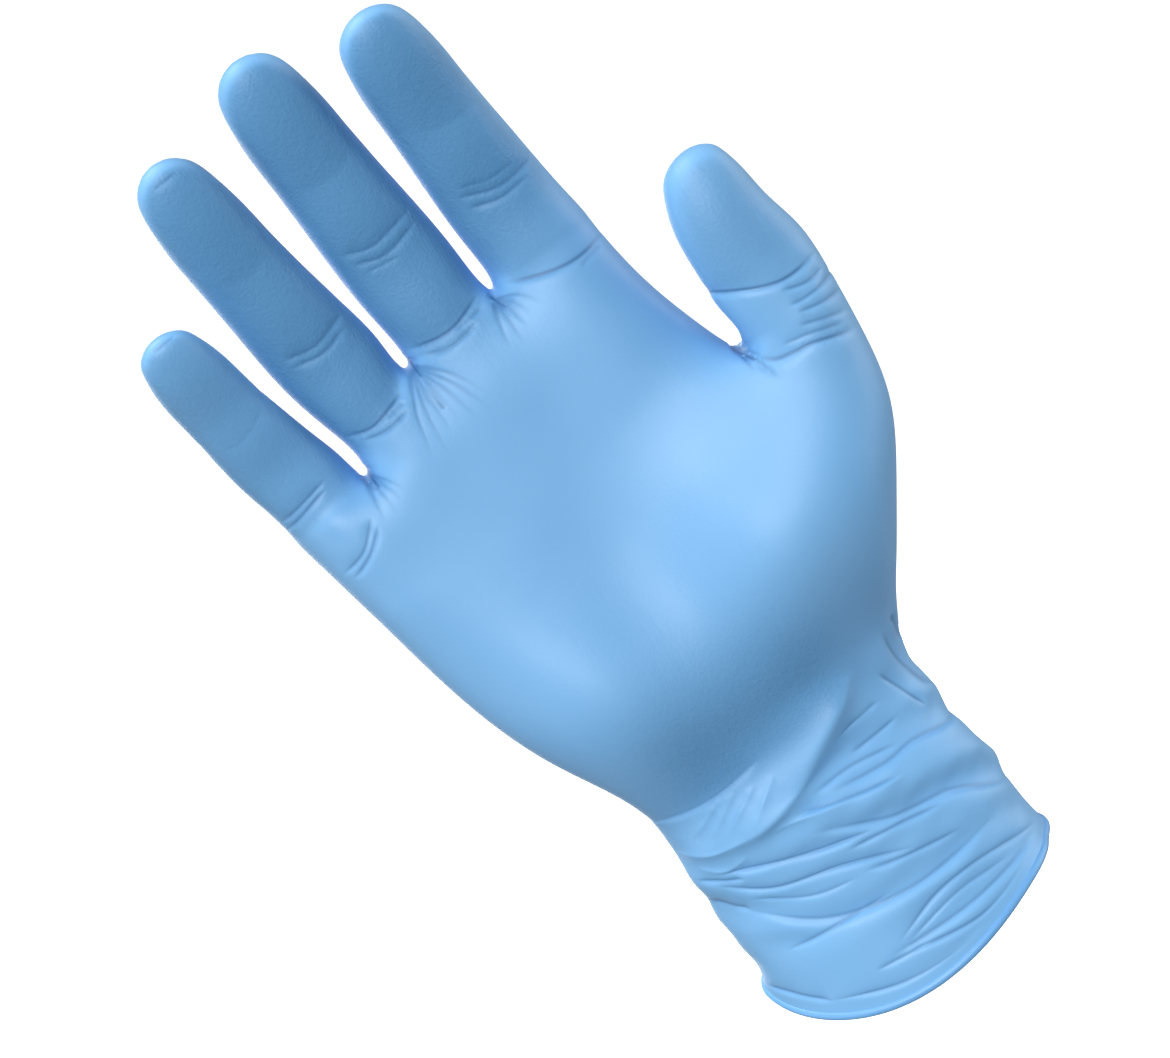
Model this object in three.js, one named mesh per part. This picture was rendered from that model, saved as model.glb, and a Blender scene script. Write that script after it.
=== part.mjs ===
// Nitrile exam glove in its worn form: one film from the fingertips to the rolled edge of the cuff.
// The palm faces -Y, the fingers point to +Z and the thumb is on the +X side.
// The origin is the centre of the cuff opening, where the hand goes in.
// Lengths are millimetres and angles are degrees.
import * as THREE from 'three';

// Film and rolled edge
const filmWall = 1;
const beadDiameter = 2.6;
const beadTurns = [50, -20, -90, -160, -230];

// Cuff, from the opening up to the wrist crease
const cuffLength = 46.5;
const openingWidth = 69;
const openingDepth = 48;
const openingShift = 0.5;
const openingSlant = 8.5;
const openingDip = 8.5;
const openingDipTurn = 24;
const wristWidth = 65;
const wristDepth = 33;
const wristShift = 2;
const forearmLean = 10;
const forearmBow = 0.15;
const foldDepth = 1.5;
const foldWidth = 3.4;
const foldFade = 0.25;

// Palm, from the wrist crease up to the finger webs
const palmLength = 112;
const palmWidth = 90;
const palmThickness = 27;
const palmSetback = 15;
const knuckleDepth = 0.88;
const thumbWebHeight = 71;
const thumbWebAcross = 0.496;
const thumbForward = 11;
const thumbForwardFrom = 0.28;
const webGap = 1.9;
const webDepth = 3;

// Fingers: length beyond the webs and breadth at the base
const littleLength = 53.4;
const littleWidth = 18.8;
const ringLength = 72.9;
const ringWidth = 21.4;
const middleLength = 71.9;
const middleWidth = 22.6;
const indexLength = 64.5;
const indexWidth = 22.8;
const thumbLength = 41.5;
const thumbWidth = 24;
const thumbOverhang = 1.1;
const fingerDepth = 0.9;
const fingerCurl = 27;
const thumbCurl = 6;
const curlEase = 1.4;
const driftEase = 1.8;
const slopeEase = 3;

const colours = { film: 0x7db8ea };

// Webs and outer edges of the finger bases, ulnar edge first. across: share of palmWidth from the
// axis; up: share of palmLength above the wrist; gap: share of webGap left between the fingers
const webs = [
  { name: 'ulnar edge', across: -0.57, up: 0.848, gap: 0 },
  { name: 'little to ring', across: -0.349, up: 0.879, gap: 1 },
  { name: 'ring to middle', across: -0.124, up: 0.987, gap: 1 },
  { name: 'middle to index', across: 0.139, up: 1.002, gap: 1 },
  { name: 'radial edge', across: 0.415, up: 0.982, gap: 0 },
];

// A web is a saddle: its front and back corners lie further in, as a share of the way to the middle
// of the palm, and lower, as a share of webDepth
const fingerSaddle = { frontIn: 0.3, frontDrop: 0.5, backIn: 0.32, backDrop: 1 };
const thumbSaddle = { frontIn: 0.12, frontDrop: 0.5, backIn: 0, backDrop: 0.67 };

// Fingers between those webs. drift: sideways shift of the tip as a share of breadth
const fingers = [
  { name: 'little', length: littleLength, breadth: littleWidth, drift: -0.27 },
  { name: 'ring', length: ringLength, breadth: ringWidth, drift: -0.2 },
  { name: 'middle', length: middleLength, breadth: middleWidth, drift: -0.035 },
  { name: 'index', length: indexLength, breadth: indexWidth, drift: -0.008 },
];

// Sections along a finger. along: share of its length; width, pad and back: shares of its half breadth
// and half depth; hug: how far the sides still follow the webs
const fingerSections = [
  { along: 0.05, width: 0.98, pad: 1.18, back: 1.12, hug: 1 },
  { along: 0.16, width: 1.0, pad: 1.1, back: 1.03, hug: 0.35 },
  { along: 0.29, width: 0.99, pad: 0.95, back: 1.03, hug: 0 },
  { along: 0.44, width: 0.945, pad: 1.0, back: 0.93, hug: 0 },
  { along: 0.59, width: 0.9, pad: 0.87, back: 0.9, hug: 0 },
  { along: 0.78, width: 0.885, pad: 0.93, back: 0.77, hug: 0 },
  { along: 0.93, width: 0.66, pad: 0.62, back: 0.5, hug: 0 },
];

// Sections along the thumb. shift: sideways, as a share of half breadth
const thumbSections = [
  { along: 0.1, width: 0.98, pad: 1.02, back: 1.2, hug: 0.5, shift: 0 },
  { along: 0.25, width: 0.995, pad: 0.97, back: 1.03, hug: 0, shift: 0 },
  { along: 0.41, width: 0.955, pad: 0.93, back: 0.94, hug: 0, shift: 0 },
  { along: 0.58, width: 0.87, pad: 0.9, back: 0.9, hug: 0, shift: -0.03 },
  { along: 0.76, width: 0.78, pad: 0.8, back: 0.8, hug: 0, shift: 0.02 },
  { along: 0.92, width: 0.56, pad: 0.54, back: 0.54, hug: 0, shift: 0.09 },
];
const thumbTipShift = 0.11;
const thumbWebGap = 2;

// Sections of the hand from the wrist to the thumb web. up: share of thumbWebHeight; ulnar and radial:
// shares of palmWidth; depth and behind: shares of palmThickness, through the hand and back from the
// middle of the palm; round: how far in from each edge the outline is rounded, as a share of the half
// width; spread: how far the columns have moved to their fingers
const palmSections = [
  { up: 0.1, ulnar: -0.35, radial: 0.425, behind: 0.16, depth: 1.1, round: 0.95, spread: 0.12 },
  { up: 0.24, ulnar: -0.386, radial: 0.494, behind: 0.05, depth: 1.18, round: 0.86, spread: 0.3 },
  { up: 0.41, ulnar: -0.444, radial: 0.588, behind: 0, depth: 1.22, round: 0.7, spread: 0.5 },
  { up: 0.6, ulnar: -0.488, radial: 0.689, behind: 0, depth: 1.12, round: 0.5, spread: 0.75 },
  { up: 0.8, ulnar: -0.516, radial: 0.737, behind: 0, depth: 1.02, round: 0.34, spread: 0.92 },
  { up: 1.0, ulnar: -0.535, radial: 0.762, behind: 0, depth: 0.98, round: 0.225, spread: 1 },
];
const upperPalmShares = [0.2, 0.46, 0.73];
const cuffShares = [0, 0.1, 0.22, 0.34, 0.46, 0.58, 0.7, 0.82, 0.92];

// Pads, hollows and knuckles. across and wide: shares of palmWidth; up and tall: shares of palmLength;
// rise: share of palmThickness, outward on its face
const pads = [
  { name: 'thenar', face: 'front', across: 0.34, up: 0.35, wide: 0.23, tall: 0.19, rise: 0.44 },
  { name: 'hypothenar', face: 'front', across: -0.28, up: 0.27, wide: 0.17, tall: 0.21, rise: 0.17 },
  { name: 'palm hollow', face: 'front', across: 0.03, up: 0.48, wide: 0.16, tall: 0.2, rise: -0.1 },
  { name: 'little pad', face: 'front', across: -0.45, up: 0.8, wide: 0.09, tall: 0.1, rise: 0.04 },
  { name: 'ring pad', face: 'front', across: -0.24, up: 0.86, wide: 0.09, tall: 0.1, rise: 0.05 },
  { name: 'middle pad', face: 'front', across: 0.0, up: 0.88, wide: 0.09, tall: 0.1, rise: 0.05 },
  { name: 'index pad', face: 'front', across: 0.26, up: 0.86, wide: 0.11, tall: 0.1, rise: 0.05 },
  { name: 'little knuckle', face: 'back', across: -0.43, up: 0.68, wide: 0.08, tall: 0.09, rise: 0.06 },
  { name: 'ring knuckle', face: 'back', across: -0.22, up: 0.74, wide: 0.08, tall: 0.09, rise: 0.07 },
  { name: 'middle knuckle', face: 'back', across: 0.01, up: 0.77, wide: 0.09, tall: 0.09, rise: 0.09 },
  { name: 'index knuckle', face: 'back', across: 0.25, up: 0.75, wide: 0.09, tall: 0.09, rise: 0.08 },
];

// Folds of the slack cuff. Angles run round it, 0 at the palm side and 90 at the thumb side;
// heights and bow are shares of cuffLength, width of foldWidth and rise of foldDepth
const folds = [
  { from: -112, low: 1.06, to: 74, high: 1.13, bow: -0.02, width: 0.9, rise: -0.9 },
  { from: -78, low: 0.89, to: 42, high: 1.17, bow: -0.15, width: 1.1, rise: 1.7 },
  { from: -30, low: 0.91, to: 118, high: 0.46, bow: 0.04, width: 0.8, rise: -0.9 },
  { from: -118, low: 0.72, to: 122, high: 0.16, bow: 0.13, width: 0.9, rise: 1 },
  { from: -74, low: 0.74, to: 108, high: 0.1, bow: 0.04, width: 0.7, rise: -0.9 },
  { from: -104, low: 0.59, to: 46, high: 0.25, bow: 0.0, width: 0.8, rise: -0.8 },
  { from: -66, low: 0.29, to: 96, high: -0.05, bow: 0.04, width: 0.8, rise: -0.9 },
  { from: -22, low: 0.1, to: 92, high: -0.18, bow: 0.0, width: 0.8, rise: -0.7 },
  { from: 48, low: 1.15, to: 118, high: 0.74, bow: 0.02, width: 0.8, rise: -0.8 },
  { from: 60, low: 0.25, to: 200, high: 0.46, bow: -0.06, width: 0.9, rise: 0.9 },
  { from: 84, low: 0.89, to: 250, high: 0.83, bow: -0.13, width: 0.9, rise: -0.9 },
  { from: 98, low: 0.7, to: 258, high: 0.7, bow: -0.13, width: 0.9, rise: 0.9 },
  { from: 110, low: 0.05, to: 264, high: 0.38, bow: -0.04, width: 0.9, rise: -0.9 },
  { from: 150, low: 0.23, to: 286, high: 0.57, bow: -0.06, width: 0.9, rise: 0.8 },
  { from: 196, low: 0.14, to: 300, high: 0.25, bow: -0.05, width: 0.9, rise: -0.8 },
];

const radians = THREE.MathUtils.degToRad;
const mix = THREE.MathUtils.lerp;
const smooth = THREE.MathUtils.smoothstep;

// The cage: points that the film passes through, joined by quads
const targets = [];
const cageQuads = [];

function addPoint(x, y, z) {
  targets.push(new THREE.Vector3(x, y, z));
  return targets.length - 1;
}

function bridge(lower, upper) {
  lower.forEach((a, i) => {
    const next = (i + 1) % lower.length;
    cageQuads.push([a, lower[next], upper[next], upper[i]]);
  });
}

// A full ring runs along the palm side from the ulnar edge, round the thumb side and along the back.
// Its first 8 front columns lie under the fingers, column 8 at the thumb web and the rest on the thumb
const frontColumns = 11;
const webColumn = 8;
const ringColumns = 2 * frontColumns + 2;
const outerColumnInset = 0.14;
const thumbMiddleShare = 0.54;

// Share of the half width at which a column stands when the columns are evenly spaced by angle
function evenShare(column) {
  return -Math.cos((Math.PI * (column + 1)) / (frontColumns + 1));
}

const webX = webs.map((web) => web.across * palmWidth);
const webZ = webs.map((web) => cuffLength + web.up * palmLength);
const splitSection = palmSections[palmSections.length - 1];
const splitHeight = cuffLength + thumbWebHeight;
const thumbWebX = thumbWebAcross * palmWidth;
const thumbX = splitSection.radial * palmWidth - thumbWidth / 2 + thumbOverhang;

// Sideways places of the front columns: edges, finger middles and webs, then the thumb
function fingerColumnX(column, left, right, hasThumb) {
  if (column === 0) return mix(left, webX[1], outerColumnInset);
  if (column === 1) return mix(left, webX[1], 0.5);
  if (column === webColumn) return hasThumb ? thumbWebX : mix(right, webX[3], outerColumnInset);
  if (column === webColumn + 1) return mix(thumbWebX, right, thumbMiddleShare);
  if (column === webColumn + 2) return mix(right, thumbWebX, outerColumnInset);
  const web = Math.floor(column / 2);
  return column % 2 ? mix(webX[web], webX[web + 1], 0.5) : webX[web];
}

function knuckleColumnZ(column) {
  const web = Math.floor(column / 2);
  return column % 2 ? (webZ[web] + webZ[web + 1]) / 2 : webZ[web];
}

// Depth share of a flat outline at a place x, rounded in from each edge
function edgeRounding(x, left, right, reach) {
  const inside = Math.min(x - left, right - x) / reach;
  return inside >= 1 ? 1 : Math.sqrt(1 - (1 - Math.max(inside, 0)) ** 2);
}

function padRise(face, x, z) {
  let rise = 0;
  for (const pad of pads) {
    if (pad.face !== face) continue;
    const across = (x - pad.across * palmWidth) / (pad.wide * palmWidth);
    const up = (z - cuffLength - pad.up * palmLength) / (pad.tall * palmLength);
    rise += pad.rise * palmThickness * Math.exp(-across * across - up * up);
  }
  return rise;
}

// One ring of the hand below the thumb web. The thumb side of it lies further forward
function palmRing(section) {
  const z = cuffLength + section.up * thumbWebHeight;
  const left = section.ulnar * palmWidth;
  const right = section.radial * palmWidth;
  const middle = (left + right) / 2;
  const half = (right - left) / 2;
  const halfDepth = (section.depth * palmThickness) / 2;
  const forward = thumbForward * section.spread;
  const centre = section.behind * palmThickness - palmSetback;
  const centreY = (x) => centre - forward * smooth(x, thumbForwardFrom * palmWidth, right);
  const columnX = (column) => {
    const even = middle + half * evenShare(column);
    return mix(even, fingerColumnX(column, left, right, true), section.spread);
  };
  const front = [];
  const back = [];
  for (let column = 0; column < frontColumns; column++) {
    const x = columnX(column);
    const edge = edgeRounding(x, left, right, section.round * half);
    const depth = halfDepth * edge;
    const swell = Math.sqrt(edge);
    front.push(addPoint(x, centreY(x) - depth - swell * padRise('front', x, z), z));
    back.push(addPoint(x, centreY(x) + depth + swell * padRise('back', x, z), z));
  }
  const radialEdge = addPoint(right, centreY(right), z);
  const ulnarEdge = addPoint(left, centreY(left), z);
  return { front, back, radialEdge, ulnarEdge };
}

function loopOf(ring) {
  return [...ring.front, ring.radialEdge, ...[...ring.back].reverse(), ring.ulnarEdge];
}

// Centre of the cuff at a share of the way from the opening to the wrist
function cuffCentreY(share) {
  return -cuffLength * Math.tan(radians(forearmLean)) * share * (1 - forearmBow * share);
}

// One ring of the cuff. It tips with the forearm and the slant of the opening, and levels at the wrist
function cuffRing(share) {
  const half = mix(openingWidth, wristWidth, Math.sqrt(share)) / 2;
  const halfDepth = mix(openingDepth, wristDepth, share) / 2;
  const middle = mix(openingShift, wristShift, share);
  const loose = 1 - share;
  const loop = [];
  for (let i = 0; i < ringColumns; i++) {
    const angle = -Math.PI / 2 + (2 * Math.PI * (i + 1)) / ringColumns;
    const x = half * Math.sin(angle);
    const y = -halfDepth * Math.cos(angle);
    const lean = y * Math.tan(radians(forearmLean)) - x * Math.tan(radians(openingSlant));
    const dip = openingDip * loose * Math.max(Math.cos(angle + radians(openingDipTurn)), 0) ** 2;
    loop.push(addPoint(middle + x, cuffCentreY(share) + y, share * cuffLength + loose * lean - dip));
  }
  return loop;
}

// Eight places round a finger: sideways and depth shares, counted like the rings
const corner = 0.73;
const fingerOutline = [
  { across: -corner, deep: -corner },
  { across: 0, deep: -1 },
  { across: corner, deep: -corner },
  { across: 1, deep: 0 },
  { across: corner, deep: corner },
  { across: 0, deep: 1 },
  { across: -corner, deep: corner },
  { across: -1, deep: 0 },
];

// A finger grows from its base loop through its sections to a rounded tip. baseX and centreY: where
// its axis starts; left and right: the webs beside it, with x, z and gap
function growFinger(base, spec, sections) {
  const { baseX, centreY, left, right, length, breadth, curl, drift, tipShift } = spec;
  const baseZ = (left.z + right.z) / 2;
  const centreX = (along) => baseX + drift * breadth * (1 - (1 - along) ** driftEase);
  const curlY = (along) => centreY - curl * along ** curlEase;
  let lower = base;
  for (const section of sections) {
    const { along, pad, back, hug } = section;
    const middle = centreX(along) + ((section.shift ?? 0) * breadth) / 2;
    const half = (section.width * breadth) / 2;
    const leftX = mix(middle - half, left.x + (left.gap * webGap) / 2, hug);
    const rightX = mix(middle + half, right.x - (right.gap * webGap) / 2, hug);
    const webSlope = ((right.z - left.z) / 2) * (1 - along) ** slopeEase;
    const loop = fingerOutline.map(({ across, deep }) => {
      const x = mix(leftX, rightX, (1 + across) / 2);
      const thick = ((deep < 0 ? pad : back) * fingerDepth * breadth) / 2;
      return addPoint(x, curlY(along) + deep * thick, baseZ + length * along + webSlope * across);
    });
    bridge(lower, loop);
    lower = loop;
  }
  const tip = addPoint(centreX(1) + ((tipShift ?? 0) * breadth) / 2, curlY(1), baseZ + length);
  for (let i = 0; i < lower.length; i += 2) {
    cageQuads.push([lower[i], lower[i + 1], lower[(i + 2) % lower.length], tip]);
  }
}

function sinkWeb(front, back, saddle) {
  front.setY(mix(front.y, -palmSetback, saddle.frontIn));
  back.setY(mix(back.y, -palmSetback, saddle.backIn));
  front.z -= webDepth * saddle.frontDrop;
  back.z -= webDepth * saddle.backDrop;
}

// The hollow form, from the opening up
function buildCage() {
  let lower = null;
  for (const share of cuffShares) {
    const loop = cuffRing(share);
    if (lower) bridge(lower, loop);
    lower = loop;
  }
  let split = null;
  for (const section of palmSections) {
    split = palmRing(section);
    const loop = loopOf(split);
    bridge(lower, loop);
    lower = loop;
  }

  // The thumb web closes the gap between the thumb and the palm
  const webFront = targets[split.front[webColumn]];
  const webBack = targets[split.back[webColumn]];
  sinkWeb(webFront, webBack, thumbSaddle);
  const thumbWeb = addPoint(thumbWebX, (webFront.y + webBack.y) / 2, splitHeight);
  const thumbBase = [
    ...split.front.slice(webColumn),
    split.radialEdge,
    ...split.back.slice(webColumn).reverse(),
    thumbWeb,
  ];
  growFinger(thumbBase, {
    baseX: thumbX,
    centreY: -palmSetback - thumbForward,
    left: { x: thumbWebX, z: splitHeight, gap: thumbWebGap },
    right: { x: splitSection.radial * palmWidth, z: splitHeight, gap: 0 },
    length: thumbLength,
    breadth: thumbWidth,
    curl: thumbCurl,
    drift: 0,
    tipShift: thumbTipShift,
  }, thumbSections);

  // Rings of the upper palm, from the thumb web to the finger bases
  let palmLoop = [
    ...split.front.slice(0, webColumn + 1),
    thumbWeb,
    ...split.back.slice(0, webColumn + 1).reverse(),
    split.ulnarEdge,
  ];
  const edgeX = (share) => mix(webX[4], thumbWebX, (1 - share) ** 2);
  const splitLeft = targets[split.ulnarEdge].x;
  let knuckle = null;
  for (const share of [...upperPalmShares, 1]) {
    const front = [];
    const back = [];
    const left = mix(splitLeft, webX[0], share);
    const right = edgeX(share);
    const halfDepth = (palmThickness / 2) * mix(splitSection.depth, knuckleDepth, share);
    for (let column = 0; column <= webColumn; column++) {
      const x = fingerColumnX(column, left, right, false);
      const z = mix(splitHeight, knuckleColumnZ(column), share);
      const edge = edgeRounding(x, left, right, halfDepth);
      front.push(addPoint(x, -palmSetback - edge * (halfDepth + padRise('front', x, z)), z));
      back.push(addPoint(x, -palmSetback + edge * (halfDepth + padRise('back', x, z)), z));
    }
    const radial = addPoint(right, -palmSetback, mix(splitHeight, webZ[4], share));
    const ulnar = addPoint(left, -palmSetback, mix(splitHeight, webZ[0], share));
    knuckle = { front, back, radialEdge: radial, ulnarEdge: ulnar };
    const loop = loopOf(knuckle);
    bridge(palmLoop, loop);
    palmLoop = loop;
  }

  const webPoints = [knuckle.ulnarEdge];
  for (let web = 1; web < fingers.length; web++) {
    sinkWeb(targets[knuckle.front[2 * web]], targets[knuckle.back[2 * web]], fingerSaddle);
    webPoints.push(addPoint(webX[web], -palmSetback, webZ[web]));
  }
  webPoints.push(knuckle.radialEdge);

  fingers.forEach((finger, i) => {
    const base = [
      ...knuckle.front.slice(2 * i, 2 * i + 3),
      webPoints[i + 1],
      ...knuckle.back.slice(2 * i, 2 * i + 3).reverse(),
      webPoints[i],
    ];
    growFinger(base, {
      ...finger,
      baseX: (webX[i] + webX[i + 1]) / 2,
      centreY: -palmSetback,
      left: { x: webX[i], z: webZ[i], gap: webs[i].gap },
      right: { x: webX[i + 1], z: webZ[i + 1], gap: webs[i + 1].gap },
      curl: fingerCurl,
    }, fingerSections);
  });
}

// Neighbours of each point: its edges, the quads at it, and its two rim neighbours if it is on the rim
function connect(count, quads) {
  const edges = new Map();
  const around = Array.from({ length: count }, () => ({ near: new Set(), far: [], quads: [], rim: [] }));
  quads.forEach((quad, q) => {
    quad.forEach((a, i) => {
      const b = quad[(i + 1) % 4];
      const key = a < b ? `${a} ${b}` : `${b} ${a}`;
      if (!edges.has(key)) edges.set(key, { a, b, quads: [] });
      edges.get(key).quads.push(q);
      around[a].near.add(b);
      around[b].near.add(a);
      around[a].far.push(quad[(i + 2) % 4]);
      around[a].quads.push(q);
    });
  });
  for (const edge of edges.values()) {
    if (edge.quads.length > 1) continue;
    around[edge.a].rim.push(edge.b);
    around[edge.b].rim.push(edge.a);
  }
  return { edges, around };
}

function average(points) {
  const sum = new THREE.Vector3();
  points.forEach((point) => sum.add(point));
  return sum.divideScalar(points.length);
}

// One step of Catmull-Clark subdivision
function subdivide(points, quads) {
  const { edges, around } = connect(points.length, quads);
  const centres = quads.map((quad) => average(quad.map((i) => points[i])));
  const finer = points.map((point, i) => {
    const { near, quads: at, rim } = around[i];
    if (rim.length) {
      return average(rim.map((j) => points[j])).lerp(point, 0.75);
    }
    const n = near.size;
    const middles = average([...near].map((j) => points[j].clone().add(point).multiplyScalar(0.5)));
    const faces = average(at.map((q) => centres[q]));
    return faces.addScaledVector(middles, 2).addScaledVector(point, n - 3).divideScalar(n);
  });
  const centreAt = centres.map((centre) => finer.push(centre) - 1);
  for (const edge of edges.values()) {
    const ends = [points[edge.a], points[edge.b]];
    const others = edge.quads.length > 1 ? edge.quads.map((q) => centres[q]) : [];
    edge.at = finer.push(average([...ends, ...others])) - 1;
  }
  const edgeAt = (a, b) => edges.get(a < b ? `${a} ${b}` : `${b} ${a}`).at;
  const finerQuads = [];
  quads.forEach((quad, q) => {
    quad.forEach((a, i) => {
      const before = quad[(i + 3) % 4];
      finerQuads.push([a, edgeAt(a, quad[(i + 1) % 4]), centreAt[q], edgeAt(before, a)]);
    });
  });
  return { points: finer, quads: finerQuads };
}

// Where each point ends on the smooth surface that endless subdivision would give
function limitOf(points, quads) {
  const { around } = connect(points.length, quads);
  return points.map((point, i) => {
    const { near, far, rim } = around[i];
    if (rim.length) {
      return average(rim.map((j) => points[j])).lerp(point, 2 / 3);
    }
    const n = near.size;
    const sum = point.clone().multiplyScalar(n * n);
    near.forEach((j) => sum.addScaledVector(points[j], 4));
    far.forEach((j) => sum.add(points[j]));
    return sum.divideScalar(n * (n + 5));
  });
}

// Moves the cage until its smooth surface passes through the targets
function fitCage(rounds) {
  const cage = targets.map((target) => target.clone());
  for (let round = 0; round < rounds; round++) {
    limitOf(cage, cageQuads).forEach((reached, i) => {
      cage[i].add(targets[i]).sub(reached);
    });
  }
  return cage;
}

function normalsOf(points, quads) {
  const normals = points.map(() => new THREE.Vector3());
  for (const [a, b, c, d] of quads) {
    const across = points[c].clone().sub(points[a]);
    const normal = across.cross(points[d].clone().sub(points[b]));
    for (const i of [a, b, c, d]) normals[i].add(normal);
  }
  return normals.map((normal) => normal.normalize());
}

// How far the folds lift a point of the cuff
function foldRise(point) {
  const share = THREE.MathUtils.clamp(point.z / cuffLength, 0, 1);
  const across = (point.x - mix(openingShift, wristShift, share)) / wristWidth;
  const deep = (point.y - cuffCentreY(share)) / wristDepth;
  const angle = THREE.MathUtils.radToDeg(Math.atan2(across, -deep));
  let rise = 0;
  for (const fold of folds) {
    for (const turn of [angle, angle + 360]) {
      const along = (turn - fold.from) / (fold.to - fold.from);
      if (along <= 0 || along >= 1) continue;
      const line = cuffLength * (mix(fold.low, fold.high, along) + 4 * fold.bow * along * (1 - along));
      const off = (point.z - line) / (fold.width * foldWidth);
      const ends = smooth(along, 0, foldFade) * smooth(1 - along, 0, foldFade);
      rise += fold.rise * foldDepth * ends * Math.exp(-off * off);
    }
  }
  return rise;
}

// Joins the outer wall, the rolled edge and the inner wall into one closed body
function closeFilm(outer, quads) {
  const normals = normalsOf(outer, quads);
  const inner = outer.map((point, i) => point.clone().addScaledVector(normals[i], -filmWall));
  const { edges } = connect(outer.length, quads);
  const rimNext = new Map();
  for (const edge of edges.values()) {
    if (edge.quads.length > 1) continue;
    const quad = quads[edge.quads[0]];
    const forward = quad[(quad.indexOf(edge.a) + 1) % 4] === edge.b;
    rimNext.set(forward ? edge.a : edge.b, forward ? edge.b : edge.a);
  }
  const points = [...outer, ...inner];
  const faces = [...quads, ...quads.map((quad) => quad.map((i) => i + outer.length).reverse())];
  const radius = beadDiameter / 2;
  const lean = radians(forearmLean);
  const beads = new Map();
  for (const i of rimNext.keys()) {
    const out = normals[i].clone();
    const down = new THREE.Vector3(0, Math.sin(lean), -Math.cos(lean));
    down.addScaledVector(out, -down.dot(out)).normalize();
    const centre = outer[i].clone().addScaledVector(out, -filmWall / 2).addScaledVector(down, radius);
    beads.set(i, beadTurns.map((turn) => {
      const place = centre.clone().addScaledVector(out, radius * Math.cos(radians(turn)));
      return points.push(place.addScaledVector(down, -radius * Math.sin(radians(turn)))) - 1;
    }));
  }
  for (const [a, b] of rimNext) {
    const down = [a, ...beads.get(a), a + outer.length];
    const beside = [b, ...beads.get(b), b + outer.length];
    for (let i = 0; i + 1 < down.length; i++) {
      faces.push([down[i + 1], beside[i + 1], beside[i], down[i]]);
    }
  }
  return { points, faces };
}

// Each quad is cut along its shorter diagonal
function geometryOf(points, faces) {
  const index = [];
  for (const [a, b, c, d] of faces) {
    if (points[a].distanceTo(points[c]) <= points[b].distanceTo(points[d])) {
      index.push(a, b, c, a, c, d);
    } else {
      index.push(a, b, d, b, c, d);
    }
  }
  const geometry = new THREE.BufferGeometry();
  geometry.setFromPoints(points);
  geometry.setIndex(index);
  geometry.computeVertexNormals();
  return geometry;
}

buildCage();
const fine = subdivide(fitCage(8), cageQuads);
const smoothPoints = limitOf(fine.points, fine.quads);
const smoothNormals = normalsOf(smoothPoints, fine.quads);
const outerWall = smoothPoints.map((point, i) => {
  return point.clone().addScaledVector(smoothNormals[i], foldRise(point));
});
const film = closeFilm(outerWall, fine.quads);

const glove = new THREE.Group();
const filmMesh = new THREE.Mesh(
  geometryOf(film.points, film.faces),
  new THREE.MeshStandardMaterial({ color: colours.film, roughness: 0.5, metalness: 0 }),
);
filmMesh.name = 'glove_film';
glove.add(filmMesh);

export default glove;
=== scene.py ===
from math import cos, radians, sin

import bmesh
import bpy
import numpy as np
from mathutils import Matrix, Vector


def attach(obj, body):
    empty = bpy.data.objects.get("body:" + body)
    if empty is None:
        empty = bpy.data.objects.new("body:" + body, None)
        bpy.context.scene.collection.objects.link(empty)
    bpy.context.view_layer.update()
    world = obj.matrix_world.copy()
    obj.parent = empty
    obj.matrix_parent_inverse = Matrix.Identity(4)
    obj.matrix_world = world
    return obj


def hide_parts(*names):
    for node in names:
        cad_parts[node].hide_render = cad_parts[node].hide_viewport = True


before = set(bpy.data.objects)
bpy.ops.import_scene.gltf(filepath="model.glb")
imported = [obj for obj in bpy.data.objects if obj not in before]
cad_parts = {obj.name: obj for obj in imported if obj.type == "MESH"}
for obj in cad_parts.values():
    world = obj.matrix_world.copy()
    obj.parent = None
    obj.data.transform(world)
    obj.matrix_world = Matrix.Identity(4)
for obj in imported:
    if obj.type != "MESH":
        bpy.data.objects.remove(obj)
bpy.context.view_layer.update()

MM = 0.001

# Rolled edge of the cuff, in millimetres: its radius, how far its centre lies below the edge of the film,
# how far the film runs down into it, and half the film's thickness
ROLL_RADIUS = 1.05
ROLL_DROP = 1.45
FILM_INTO_ROLL = 0.55
HALF_FILM = 0.5

# Kinds of crease, in millimetres. above and below: how far the film slopes towards the line on its
# fingertip side and on its cuff side; lip: rise of the film below the line, as a share of the depth;
# round: how blunt the line is; dark: how much painted shade deepens the colour in it
KINDS = {
    "deep": {"above": 1.6, "below": 0.6, "lip": 0.4, "round": 0.13, "dark": 0.85},
    "line": {"above": 1.2, "below": 0.55, "lip": 0.35, "round": 0.13, "dark": 0.5},
    "fine": {"above": 0.7, "below": 0.4, "lip": 0.15, "round": 0.12, "dark": 0.27},
    "soft": {"above": 3.2, "below": 2.2, "lip": 0.15, "round": 0.3, "dark": 0.12},
    "fold": {"above": 3, "below": 0.9, "lip": 0.7, "round": 0.25, "dark": 0.5},
    "edge": {"above": 2.0, "below": 0.5, "lip": 0.8, "round": 0.2, "dark": 0.35},
    "rib": {"above": 0.7, "below": 1.1, "lip": 0, "round": 0.25, "dark": 0},
    "ridge": {"above": 1.7, "below": 2.4, "lip": 0, "round": 1.3, "dark": 0},
}

# The painted shade of a crease spreads by DARK_WIDTH about a line DARK_OFFSET above it, on the groove's
# upper wall, which faces away from the light. The lip is LIP_WIDTH times as wide as the slope below, and
# towards its ends a crease narrows to THINNEST of its width
DARK_WIDTH = 0.4
DARK_OFFSET = 0.1
LIP_WIDTH = 3
THINNEST = 0.5

# A crease is worked out up to REACH_SLOPES times its upper slope and REACH_BEYOND away from it
REACH_SLOPES = 4
REACH_BEYOND = 2

# Both ends of a crease fade in over this share of its length, and its depth wavers by a share of itself
END_START = -0.03
END_TAPER = 0.22
WAVER = 0.2
WAVER_TURNS = 11

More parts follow.
